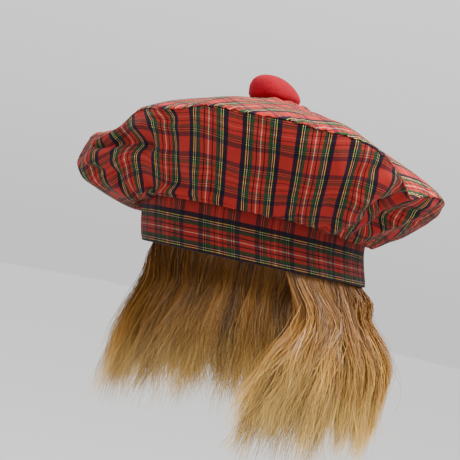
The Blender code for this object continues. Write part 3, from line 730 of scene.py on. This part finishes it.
# %% Shape of the top
CROWN_LEAN = (-0.0102, -0.0080)
DOME_TOP, DOME_POWER = 0.1257, 1.86
POMPOM_DIMPLE, DIMPLE_REACH = 0.0061, 0.0185
FRONT_LIFT, FRONT_BEARING, FRONT_WIDE = 0.0017, 38, 34  # the front edge is rounder
FRONT_OUT, FRONT_LONG = 0.82, 0.11
RIDGE_LIFT, RIDGE_BEARING = 0.0042, 104  # cloth is drawn up to the pompom
RIDGE_OUT, RIDGE_WIDE = 0.0238, 0.0056
TOP_TURN_DOWN, TURN_WIDE, TOP_RADIUS = 0.0012, 0.0014, 0.125  # the sewn edge turns down
TOP_WAVES = [(0.00050, 5, 6, 0.4), (0.00040, 8, -7, 2.2), (0.00030, 13, 11, 1.0)]
TOP_PUCKERS = [(0.00026, 97, 0, 0.3), (0.00024, 61, 0, 1.3), (0.00016, 151, 0, 2.7)]
DENTS = [
    # bearing, share out, depth, half its length, half its width
    (-58, 0.830, 0.0090, 0.040, 0.017),
    (-36, 0.800, 0.0030, 0.020, 0.014),
    (84, 0.860, 0.0050, 0.016, 0.012),
    (60, 0.620, 0.0016, 0.040, 0.020),
    (150, 0.700, 0.0024, 0.030, 0.024),
    (245, 0.650, 0.0022, 0.036, 0.026),
    (5, 0.600, 0.0014, 0.036, 0.022),
]
dome_middle = np.array([*CROWN_LEAN, DOME_TOP])


def top_height(places, edge_z, shares):
    """Height of the top at level places that lie a share of the way from the middle to the seam."""
    away = places - dome_middle[:2]
    away_by = np.hypot(away[..., 0], away[..., 1])
    around = np.degrees(np.arctan2(away[..., 0], -away[..., 1]))
    fade = np.minimum(1, 8 * (1 - shares))  # nothing moves at the seam
    z = edge_z + (DOME_TOP - edge_z) * (1 - shares**DOME_POWER)
    z = z - POMPOM_DIMPLE * np.exp(-((away_by / DIMPLE_REACH) ** 2))
    off_front = (around - FRONT_BEARING + 180) % 360 - 180
    rounder = np.exp(-((off_front / FRONT_WIDE) ** 2) - ((shares - FRONT_OUT) / FRONT_LONG) ** 2)
    z = z + FRONT_LIFT * rounder * fade
    drawn = np.clip(0.3 + 0.7 * np.cos(np.radians(around - RIDGE_BEARING)), 0, 1)
    z = z + RIDGE_LIFT * drawn * np.exp(-(((away_by - RIDGE_OUT) / RIDGE_WIDE) ** 2))
    for bearing, out, depth, long, wide in DENTS:
        way = heading(bearing)[:2]
        edge = way * looped(CROWN, [bearing])[0, 0] * CROWN_RADIUS
        off_dent = away - (edge - dome_middle[:2]) * out
        radial = off_dent @ way
        sideways = off_dent[..., 0] * way[1] - off_dent[..., 1] * way[0]
        z = z - fade * depth * np.exp(-((sideways / long) ** 2) - (radial / wide) ** 2)
    return z


print("top has", len(DENTS), "dents")

# %% Grid of the top
top_shares = np.concatenate([np.linspace(0.02, 0.94, 46), [0.952, 0.964, 0.974, 0.983, 0.991, 1.0]])
ta, tb = np.meshgrid(bearings, top_shares, indexing="ij")
level_places = dome_middle[:2] + (seam[:, None, :2] - dome_middle[:2]) * tb[..., None]
dome = top_height(level_places, seam[:, None, 2], tb)
dome = dome - ripple(ta, tb, TOP_WAVES) * np.minimum(1, 5 * tb) * np.minimum(1, 8 * (1 - tb))
dome = dome - ripple(ta, tb, TOP_PUCKERS) * np.exp(-(((1 - tb) / 0.07) ** 2))
dome = dome - TOP_TURN_DOWN * np.exp(-(((1 - tb) * TOP_RADIUS / TURN_WIDE) ** 2))
hub = top_height(dome_middle[None, :2], np.array([seam[:, 2].mean()]), np.zeros(1))[0]
hub_ring = np.broadcast_to([*CROWN_LEAN, hub], (ROUND, 1, 3))
top_grid = np.concatenate([hub_ring, np.concatenate([level_places, dome[..., None]], -1)], 1)
top_inner = top_grid - np.array([0, 0, CLOTH])
top_inner[..., 2] += np.interp(np.concatenate([[0], top_shares]), [0.955, 1.0], [0, CLOTH - EDGE])
print("top rises to", round(float(top_grid[..., 2].max()) * 1000, 1), "mm")

# %% [markdown]
# The disc's strong threads run nearly from front to back, so the camera sees them cross the top on a slant.
# Every point is laid out flat by its distance from the middle along the cloth, and the flat disc is then
# turned and shifted until its stripes meet the front edge where the photograph shows them.

# %% The top's place in the flat cloth
TOP_SHIFT = (0.010, -0.0089)
TOP_TURN = math.radians(70)
steps_out = np.linalg.norm(np.diff(top_grid, axis=1), axis=2)
radius_out = np.concatenate([np.zeros((ROUND, 1)), np.cumsum(steps_out, 1)], 1)
radius_out = np.concatenate([radius_out, radius_out[:1]])
way_out = np.concatenate([seam, seam[:1]])[:, :2] - dome_middle[:2]
way_out = way_out / np.linalg.norm(way_out, axis=1, keepdims=True)
flat_disc = way_out[:, None, :] * radius_out[..., None]
with_threads = flat_disc @ np.array([math.cos(TOP_TURN), math.sin(TOP_TURN)])
over_threads = flat_disc @ np.array([math.sin(TOP_TURN), -math.cos(TOP_TURN)])
top_flat = np.stack([over_threads + TOP_SHIFT[1], with_threads + TOP_SHIFT[0]], -1)
crown_top = wall_piece("crown_top_cloth", top_grid, top_inner, top_flat, top_cloth)
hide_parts("crown_top")
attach(crown_top, "root")

# %% [markdown]
# The band is a strip of the same tartan folded double. Its strong threads run round the hat, with the white
# middle line a third of the way up and a plain red stripe along the top. It bulges a little between its
# edges, and its folded lower edge is rounded.

# %% Headband
BAND_WALL, BAND_ROLL = 0.0030, 0.0010
BAND_WAVES = [(0.00030, 11, 3, 0.5), (0.00025, 19, -4, 2.0), (0.00018, 42, 5, 1.1), (0.00012, 83, 0, 0.2)]
BAND_MIDDLE_LINE = 0.0127  # the white line's height
BAND_LINE_BEARING = 47.8  # a white line goes up the band here
BAND_STRETCH = 0.93  # cloth in each metre round, as the strip is pulled tight

band_heights = np.concatenate([np.linspace(BAND_HEIGHT, BAND_ROLL, 26), [0.0005, 0.0001]])
outer_insets = np.concatenate([np.zeros(26), [0.0003, 0.0010]])  # rounds the folded edge
inner_insets = np.where(band_heights < 0.0006, BAND_WALL - 0.0008, BAND_WALL)
ba, bz = np.meshgrid(bearings, band_heights, indexing="ij")
rise = bz / BAND_HEIGHT
held = np.minimum(1, 8 * rise) * np.minimum(1, 8 * (1 - rise))
band_bulge = 0.0005 * np.sin(np.pi * np.clip(rise, 0, 1)) + ripple(ba, rise, BAND_WAVES) * held
band_outer = np.stack([oval(bearings, inset, z) for inset, z in zip(outer_insets, band_heights)], 1)
band_outer = band_outer + heading(bearings)[:, None] * band_bulge[..., None]
band_inner = np.stack([oval(bearings, inset, z) for inset, z in zip(inner_insets, band_heights)], 1)
measured = band_outer[:, 10]
band_run = np.concatenate([[0], np.cumsum(np.linalg.norm(np.roll(measured, -1, 0) - measured, axis=1))])
round_band = BAND_STRETCH * (band_run - np.interp(BAND_LINE_BEARING, run_bearing, band_run))
up_band = band_heights - BAND_MIDDLE_LINE
band_flat = np.stack(np.broadcast_arrays(up_band[None, :], round_band[:, None]), -1)
headband = wall_piece("headband_cloth", band_outer, band_inner, band_flat, band_cloth)
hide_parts("headband")
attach(headband, "root")
print("band is", round(float(band_run[-1]), 3), "m round")

# %% [markdown]
# The pompom is a small padded ball under short red velvet, drawn into the top by its stitches. Velvet looks
# darker face on and glows at its edges, which sheen gives. A fine noise makes the pile uneven, and a coarse
# one shows where it was brushed.

# %% Velvet
PILE_SCALE, BRUSHED_SCALE = 900, 70

velvet = bpy.data.materials.new("red_velvet")
velvet.use_nodes = True
velvet_tree = velvet.node_tree
velvet_shader = velvet_tree.nodes["Principled BSDF"]
coordinates = velvet_tree.nodes.new("ShaderNodeTexCoord")
pile = velvet_tree.nodes.new("ShaderNodeTexNoise")
pile.inputs["Scale"].default_value = PILE_SCALE
pile.inputs["Detail"].default_value = 3
brushed = velvet_tree.nodes.new("ShaderNodeTexNoise")
brushed.inputs["Scale"].default_value = BRUSHED_SCALE
velvet_tree.links.new(coordinates.outputs["Object"], pile.inputs["Vector"])
velvet_tree.links.new(coordinates.outputs["Object"], brushed.inputs["Vector"])
half_pile = compute(velvet_tree, "MULTIPLY", pile.outputs["Fac"], 0.5)
half_brushed = compute(velvet_tree, "MULTIPLY", brushed.outputs["Fac"], 0.5)
patch = compute(velvet_tree, "ADD", half_pile, half_brushed)
velvet_red = mixed(velvet_tree, patch, srgb(88, 3, 14), srgb(186, 7, 34))
velvet_tree.links.new(velvet_red, velvet_shader.inputs["Base Color"])
fuzz = velvet_tree.nodes.new("ShaderNodeBump")
fuzz.inputs["Distance"].default_value = 0.0004
fuzz.inputs["Strength"].default_value = 0.6
velvet_tree.links.new(pile.outputs["Fac"], fuzz.inputs["Height"])
velvet_tree.links.new(fuzz.outputs["Normal"], velvet_shader.inputs["Normal"])
velvet_shader.inputs["Roughness"].default_value = 0.85
velvet_shader.inputs["Specular IOR Level"].default_value = 0.15
velvet_shader.inputs["Sheen Weight"].default_value = 0.14
velvet_shader.inputs["Sheen Roughness"].default_value = 0.35
velvet_shader.inputs["Sheen Tint"].default_value = srgb(255, 120, 135)
print("velvet has", len(velvet_tree.nodes), "nodes")

# %% [markdown]
# The ball is rings of points from its foot to its top. It is not a sphere: the stitches flatten it from
# below, its widest ring is low, and it leans the way the crown does. A tiny random shift of each point
# keeps the velvet's outline soft.

# %% Pompom
POMPOM_WIDTH, POMPOM_HEIGHT = 0.041, 0.0255
POMPOM_SIDES, POMPOM_RINGS = 128, 64
PILE_SHIFT = 0.00006

foot = DOME_TOP - POMPOM_DIMPLE + 4 * GAP
belly = foot + POMPOM_HEIGHT * 0.40
lean = np.array([*BAND_LEAN, 0.0]) / np.hypot(*BAND_LEAN)
tilt = -math.pi / 2 + math.pi * np.arange(1, POMPOM_RINGS) / POMPOM_RINGS
ways = heading(np.arange(POMPOM_SIDES) * 360 / POMPOM_SIDES)
half_width = POMPOM_WIDTH / 2 * np.where(tilt > 0, np.cos(tilt) ** 0.74, np.cos(tilt) ** 0.90)
swell = 0.0022 * np.maximum(np.sin(tilt), 0)
tall = np.where(tilt < 0, belly - foot, foot + POMPOM_HEIGHT - belly)
ball = np.array([*CROWN_LEAN, 0.0]) + ways[None] * half_width[:, None, None] + lean * (swell * 1.4)[:, None, None]
ball[..., 2] += (belly + tall * np.sin(tilt))[:, None]
ball[..., 2] -= (1 - ways @ lean)[None, :] * (swell * np.cos(tilt))[:, None]
ball += np.random.default_rng(5).normal(0, PILE_SHIFT, ball.shape)
lowest = np.array([*CROWN_LEAN, foot])
highest = np.array([*CROWN_LEAN, 0]) + lean * 0.003 + [0, 0, foot + POMPOM_HEIGHT]
ball_points = np.concatenate([[lowest], ball.reshape(-1, 3), [highest]])


def ball_point(side, ring):
    return 1 + ring * POMPOM_SIDES + side % POMPOM_SIDES


ball_faces = [
    (ball_point(i, j), ball_point(i + 1, j), ball_point(i + 1, j + 1), ball_point(i, j + 1))
    for j in range(POMPOM_RINGS - 2)
    for i in range(POMPOM_SIDES)
]
last_ring = POMPOM_RINGS - 2
for i in range(POMPOM_SIDES):
    ball_faces.append((0, ball_point(i + 1, 0), ball_point(i, 0)))
    ball_faces.append((len(ball_points) - 1, ball_point(i, last_ring), ball_point(i + 1, last_ring)))
pompom = new_piece("pompom_velvet", ball_points, ball_faces, velvet)
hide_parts("pompom")
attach(pompom, "root")

# %% [markdown]
# The fringe is long synthetic hair. Blender could grow it as hair curves, but a model for other programs
# needs meshes, so each hair is a thin ribbon. Hairs gather in the locks of the solid, and inside a lock in
# smaller tufts that share a wave. Their lengths differ, so the tips thin out instead of ending in a line.

# %% Table of the locks
WEFT_TOP, WEFT_WALL = 0.024, 0.0018  # the strip that carries the hair, inside the band
HAIR_LENGTH, LOCK_WIDTH = 0.131, 0.027
LOCKS = [
    # bearing long  wide  turns            outs
    (62, 1.00, 1.00, (10, -2, -15), (0.006, 0.012, 0.014)),
    (66, 0.86, 0.90, (8, 2, -17), (0.009, 0.015, 0.012)),
    (72, 1.01, 1.05, (6, -3, -12), (0.007, 0.017, 0.018)),
    (79, 0.96, 1.00, (6, 1, -7), (0.010, 0.018, 0.021)),
    (86, 1.02, 1.05, (4, -1, -4), (0.008, 0.019, 0.021)),
    (94, 0.97, 1.00, (3, 2, -1), (0.010, 0.023, 0.024)),
    (101, 0.99, 1.00, (2, 2, 1), (0.009, 0.023, 0.027)),
    (109, 0.94, 1.05, (1, 2, 3), (0.012, 0.027, 0.029)),
    (117, 0.90, 1.00, (1, 1, 3), (0.010, 0.028, 0.032)),
    (125, 0.80, 1.00, (1, 0, 2), (0.014, 0.031, 0.033)),
    (133, 0.84, 1.05, (0, -1, -2), (0.010, 0.028, 0.031)),
    (142, 0.92, 1.00, (0, 1, 2), (0.009, 0.024, 0.028)),
    (151, 0.88, 1.05, (1, 2, 1), (0.006, 0.021, 0.027)),
    (160, 0.95, 1.05, (0, -1, -2), (0.008, 0.022, 0.027)),
    (170, 0.90, 1.05, (0, 1, 2), (0.005, 0.019, 0.025)),
    (180, 0.96, 1.05, (1, 0, -1), (0.008, 0.021, 0.026)),
    (190, 0.90, 1.05, (0, -1, -2), (0.005, 0.019, 0.025)),
    (200, 0.95, 1.05, (0, 1, 2), (0.008, 0.021, 0.026)),
    (209, 0.89, 1.05, (-1, 0, 1), (0.005, 0.018, 0.025)),
    (218, 0.94, 1.00, (0, -1, -2), (0.008, 0.020, 0.025)),
    (227, 0.89, 1.05, (0, 1, 1), (0.005, 0.018, 0.025)),
    (235, 0.94, 1.00, (-1, 0, 2), (0.008, 0.020, 0.026)),
    (243, 0.90, 1.00, (0, 1, 3), (0.005, 0.018, 0.026)),
    (251, 0.96, 1.05, (0, 2, 2), (0.009, 0.020, 0.028)),
    (259, 0.90, 1.00, (-1, 2, 5), (0.006, 0.018, 0.030)),
    (267, 0.97, 1.00, (0, 1, 4), (0.008, 0.019, 0.030)),
    (275, 0.92, 1.00, (-1, 2, 8), (0.005, 0.016, 0.028)),
    (283, 0.98, 0.95, (-2, 1, 7), (0.005, 0.014, 0.024)),
    (291, 0.86, 0.90, (-3, 0, 6), (0.003, 0.011, 0.018)),
    (298, 0.92, 0.90, (-5, -1, 6), (0.002, 0.009, 0.014)),
]
print("fringe has", len(LOCKS), "locks")

# %% [markdown]
# Synthetic hair is one fibre, but it looks darker under the hat and paler where light passes through its
# tips, so that shade and light are painted into its colour. Each ribbon's points carry two numbers, how far
# along the hair they are and the hair's own tint, and two colour ramps read them: the first paints the shade
# at the roots and the light at the tips. A picture of hair would repeat itself, and these never do.

# %% Ginger hair
ginger = bpy.data.materials.new("ginger_hair")
ginger.use_nodes = True
hair_tree = ginger.node_tree
hair_shader = hair_tree.nodes["Principled BSDF"]


def hair_ramp(name, stops):
    """A colour ramp that reads one number stored on the hair's points."""
    stored = hair_tree.nodes.new("ShaderNodeAttribute")
    stored.attribute_name = name
    ramp = hair_tree.nodes.new("ShaderNodeValToRGB")
    elements = ramp.color_ramp.elements
    (elements[0].position, elements[0].color), (elements[1].position, elements[1].color) = stops[0], stops[-1]
    for position, colour in stops[1:-1]:
        elements.new(position).color = colour
    hair_tree.links.new(stored.outputs["Fac"], ramp.inputs["Fac"])
    return ramp.outputs["Color"]


# painted shade at the roots, under the hat, turning to painted light at the tips, where light passes through
root_shade_tip_light = hair_ramp("along", [
    (0.0, srgb(106, 68, 26)), (0.25, srgb(136, 92, 40)), (0.65, srgb(164, 118, 54)), (1.0, srgb(218, 186, 108)),
])
own_tint = hair_ramp("hair_tint", [(0.0, (0.36, 0.31, 0.24, 1)), (1.0, (1.55, 1.50, 1.32, 1))])
hair_tree.links.new(mixed(hair_tree, 1.0, root_shade_tip_light, own_tint, "MULTIPLY"), hair_shader.inputs["Base Color"])
hair_shader.inputs["Roughness"].default_value = 0.42
hair_shader.inputs["Specular IOR Level"].default_value = 0.45
print("hair material has", len(hair_tree.nodes), "nodes")

# %% [markdown]
# A hair starts inside the band and follows its lock down, as far round and as far out as the table says.
# Its tuft shifts it within the lock and gives it a wave, and random numbers from a fixed seed give it a
# path of its own.

# %% Locks and tufts
HAIR_POINTS = 12
TUFTS = 9  # in each lock

lock_bearing = np.array([row[0] for row in LOCKS], float)
lock_long = np.array([row[1] for row in LOCKS])
lock_wide = np.array([row[2] for row in LOCKS])
turns_of, outs_of = [row[3] for row in LOCKS], [row[4] for row in LOCKS]
lock_turn = np.array([(0, p, q, q * 0.4 + r * 0.6, r) for p, q, r in turns_of], float)[..., None]
lock_out = np.array([(0, p, q, q * 0.3 + r * 0.7, r) for p, q, r in outs_of], float)[..., None]
each_tuft = (len(LOCKS), TUFTS)
tuft_tint = np.random.default_rng(8).normal(0, 1, each_tuft)
tuft_long = np.clip(np.random.default_rng(31).normal(0.96, 0.085, each_tuft), 0.72, 1.06)
tuft_rng = np.random.default_rng(77)
tuft_side = (tuft_rng.random(each_tuft) - 0.5) * 1.05
tuft_deep = tuft_rng.random(each_tuft) - 0.5
tuft_wave = tuft_rng.random(each_tuft) * 2 * math.pi
tuft_size = 0.4 + tuft_rng.random(each_tuft)
tuft_swing = tuft_rng.normal(0, 3.4, each_tuft)
print(len(LOCKS) * TUFTS, "tufts")

# %% Paths of the hairs
HAIR_TOP = WEFT_TOP * 0.42  # hairs start this high, inside the band
HAIR_INSET = BAND_WALL + GAP * 1.4 + WEFT_WALL / 2 + 0.0008
SPREAD_AT, LOCK_SPREAD = [0, 0.25, 0.6, 1.0], [0.86, 1.06, 1.00, 0.80]
THICK_AT, LOCK_THICK = [0, 0.03, 0.2, 0.6, 1.0], [0.0012, 0.003, 0.0105, 0.0125, 0.0070]
WAVE_LENGTH, SWAY_LENGTH = 0.052, 0.068
TUFT_SWING = 0.0023  # to each side, in a tuft's wave
OWN_SIDEWAYS, OWN_OUTWARD = 0.0034, 0.0022  # how far a hair leaves its tuft by the tip
FRIZZ_SIDEWAYS, FRIZZ_OUTWARD = 0.0016, 0.0012
STRAY_SHARE, STRAY_TIMES = 0.13, 3.4  # some hairs are frizzier
PUFF_AT, PUFF_SHARE = [96, 112, 128, 142, 160], [0, 0.6, 1.0, 0.6, 0.2]  # locks that puff out under the band
PUFF_OUT, PUFF_IN = 0.0065, 0.003
FRONT_AT, FRONT_SHARE = [60, 72, 84], [1.0, 0.6, 0.0]  # locks at the front that swing back
FRONT_TURN, FRONT_BULGE = 2.0, 5.0  # degrees


def lock_line(chosen, lower):
    """How far round and how far out each hair's lock has gone, a share of the way down it."""
    turn, out = np.empty_like(lower), np.empty_like(lower)
    for k in np.unique(chosen):
        mine = chosen == k
        shares = lower[mine]
        turn[mine] = along(lock_turn[k], shares.ravel())[:, 0].reshape(shares.shape)
        out[mine] = along(lock_out[k], shares.ravel())[:, 0].reshape(shares.shape)
    return turn, out


def hair_paths(rng, chosen, tuft, hang):
    """Middle lines of hairs: chosen is the lock of each, and hang the share of the lock's length it reaches."""
    count = len(chosen)
    one_each = (count, 1)
    side = np.clip(tuft_side[chosen, tuft] + rng.normal(0, 0.10, count), -0.56, 0.56)
    deep = np.clip(tuft_deep[chosen, tuft] * 0.8 + rng.normal(0, 0.16, count), -0.5, 0.5)
    t = np.linspace(0, 1, HAIR_POINTS)[None, :] * np.ones(one_each)
    reach = (HAIR_LENGTH * lock_long[chosen] * hang * tuft_long[chosen, tuft])[:, None]
    z = HAIR_TOP - (HAIR_TOP + reach) * t
    lower = np.clip(-z / (HAIR_LENGTH * lock_long[chosen])[:, None], 0, 1)
    turn, out = lock_line(chosen, lower)
    spread = np.interp(lower, SPREAD_AT, LOCK_SPREAD)
    thick = np.interp(lower, THICK_AT, LOCK_THICK)
    start = tuft_wave[chosen, tuft][:, None]
    wave = np.sin(2 * math.pi * lower * (reach / WAVE_LENGTH) + start + rng.normal(0, 0.35, one_each))
    sway = np.cos(2 * math.pi * lower * (reach / SWAY_LENGTH) + start * 1.7)
    own = rng.normal(0, 1, one_each) * lower**1.5
    swing = TUFT_SWING * tuft_size[chosen, tuft][:, None] * np.minimum(1, 3.0 * lower)
    sideways = LOCK_WIDTH * (lock_wide[chosen] * side)[:, None] * spread + wave * swing + own * OWN_SIDEWAYS
    outward = thick * deep[:, None] + sway * swing * 0.6
    outward += rng.normal(0, 1, one_each) * lower**2 * OWN_OUTWARD
    stray = np.where(rng.random(one_each) < STRAY_SHARE, STRAY_TIMES, 1.0) * np.minimum(1, 3 * lower)
    sideways += stray * rng.normal(0, FRIZZ_SIDEWAYS, one_each) * np.sin(lower * 7 + rng.random(one_each) * 6)
    outward += stray * rng.normal(0, FRIZZ_OUTWARD, one_each) * np.sin(lower * 6 + rng.random(one_each) * 6)
    puffed = np.interp(lock_bearing[chosen], PUFF_AT, PUFF_SHARE)[:, None]
    outward += PUFF_OUT * puffed * np.exp(-(((z + 0.0105) / 0.0075) ** 2))
    outward -= PUFF_IN * puffed * np.exp(-(((z + 0.024) / 0.008) ** 2))
    outward = np.where(z > -0.002, np.minimum(outward, 0.0006), outward)  # inside the band it lies flat
    bearing = lock_bearing[chosen][:, None] + turn + tuft_swing[chosen, tuft][:, None] * lower**1.4
    front = np.interp(lock_bearing[chosen], FRONT_AT, FRONT_SHARE)[:, None]
    bearing += front * (FRONT_TURN + FRONT_BULGE * np.exp(-(((lower - 0.24) / 0.12) ** 2)))
    radius = np.linalg.norm(oval(bearing, HAIR_INSET, 0.0)[..., :2], axis=-1)
    there = bearing + np.degrees(sideways / radius)
    return oval(there, HAIR_INSET, z) + heading(there) * (out + outward)[..., None], t


# %% [markdown]
# Each path becomes a ribbon half a millimetre wide that narrows to its tip. The ribbons are turned at
# random about their own length, so that some catch the light and some show their edge, as round hairs do.
# The fringe is four meshes, which keeps each one light.

# %% Fringe
HAIR_WIDTH = 0.00050
SHORTEST, LONGEST = 0.40, 1.04  # share of the lock's length


def hair_piece(name, low, high, count, seed):
    """Many ribbons whose locks lie between two bearings."""
    rng = np.random.default_rng(seed)
    inside = np.where((lock_bearing >= low) & (lock_bearing < high))[0]
    chosen = inside[rng.integers(0, len(inside), count)]
    hang = SHORTEST + (LONGEST - SHORTEST) * rng.beta(2.1, 1.2, count)
    tuft = rng.integers(0, TUFTS, count)
    places, t = hair_paths(rng, chosen, tuft, hang)
    run = np.gradient(places, axis=1)
    run /= np.linalg.norm(run, axis=2, keepdims=True)
    out = places.copy()
    out[..., 2] = 0
    out /= np.linalg.norm(out, axis=2, keepdims=True)
    flat_way = np.cross(run, out)
    flat_way /= np.linalg.norm(flat_way, axis=2, keepdims=True)
    roll = rng.normal(0, 0.55, (count, 1, 1))
    flat_way = flat_way * np.cos(roll) + np.cross(run, flat_way) * np.sin(roll)
    width = HAIR_WIDTH * (1 - 0.82 * t**2)[..., None] * (0.7 + 0.6 * rng.random((count, 1, 1)))
    points = np.stack([places - flat_way * width / 2, places + flat_way * width / 2], 2).reshape(-1, 3)
    n, k = np.meshgrid(np.arange(count), np.arange(HAIR_POINTS - 1), indexing="ij")
    base = ((n * HAIR_POINTS + k) * 2).ravel()
    faces = np.stack([base, base + 1, base + 3, base + 2], 1)
    piece = new_piece(name, points, faces.tolist(), ginger)
    tint = np.clip(0.5 + 0.22 * tuft_tint[chosen, tuft] + rng.normal(0, 0.15, count), 0, 1)
    for label, values in (("along", t), ("hair_tint", tint[:, None] * np.ones_like(t))):
        layer = piece.data.attributes.new(label, "FLOAT", "POINT")
        layer.data.foreach_set("value", np.repeat(values.ravel(), 2).astype(np.float32))
    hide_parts("hair_fringe")
    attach(piece, "root")


hair_piece("hair_left", 60, 104, count=8300, seed=11)
hair_piece("hair_left_back", 104, 150, count=8300, seed=12)
hair_piece("hair_back", 150, 226, count=7600, seed=13)
hair_piece("hair_right", 226, 300, count=8300, seed=14)
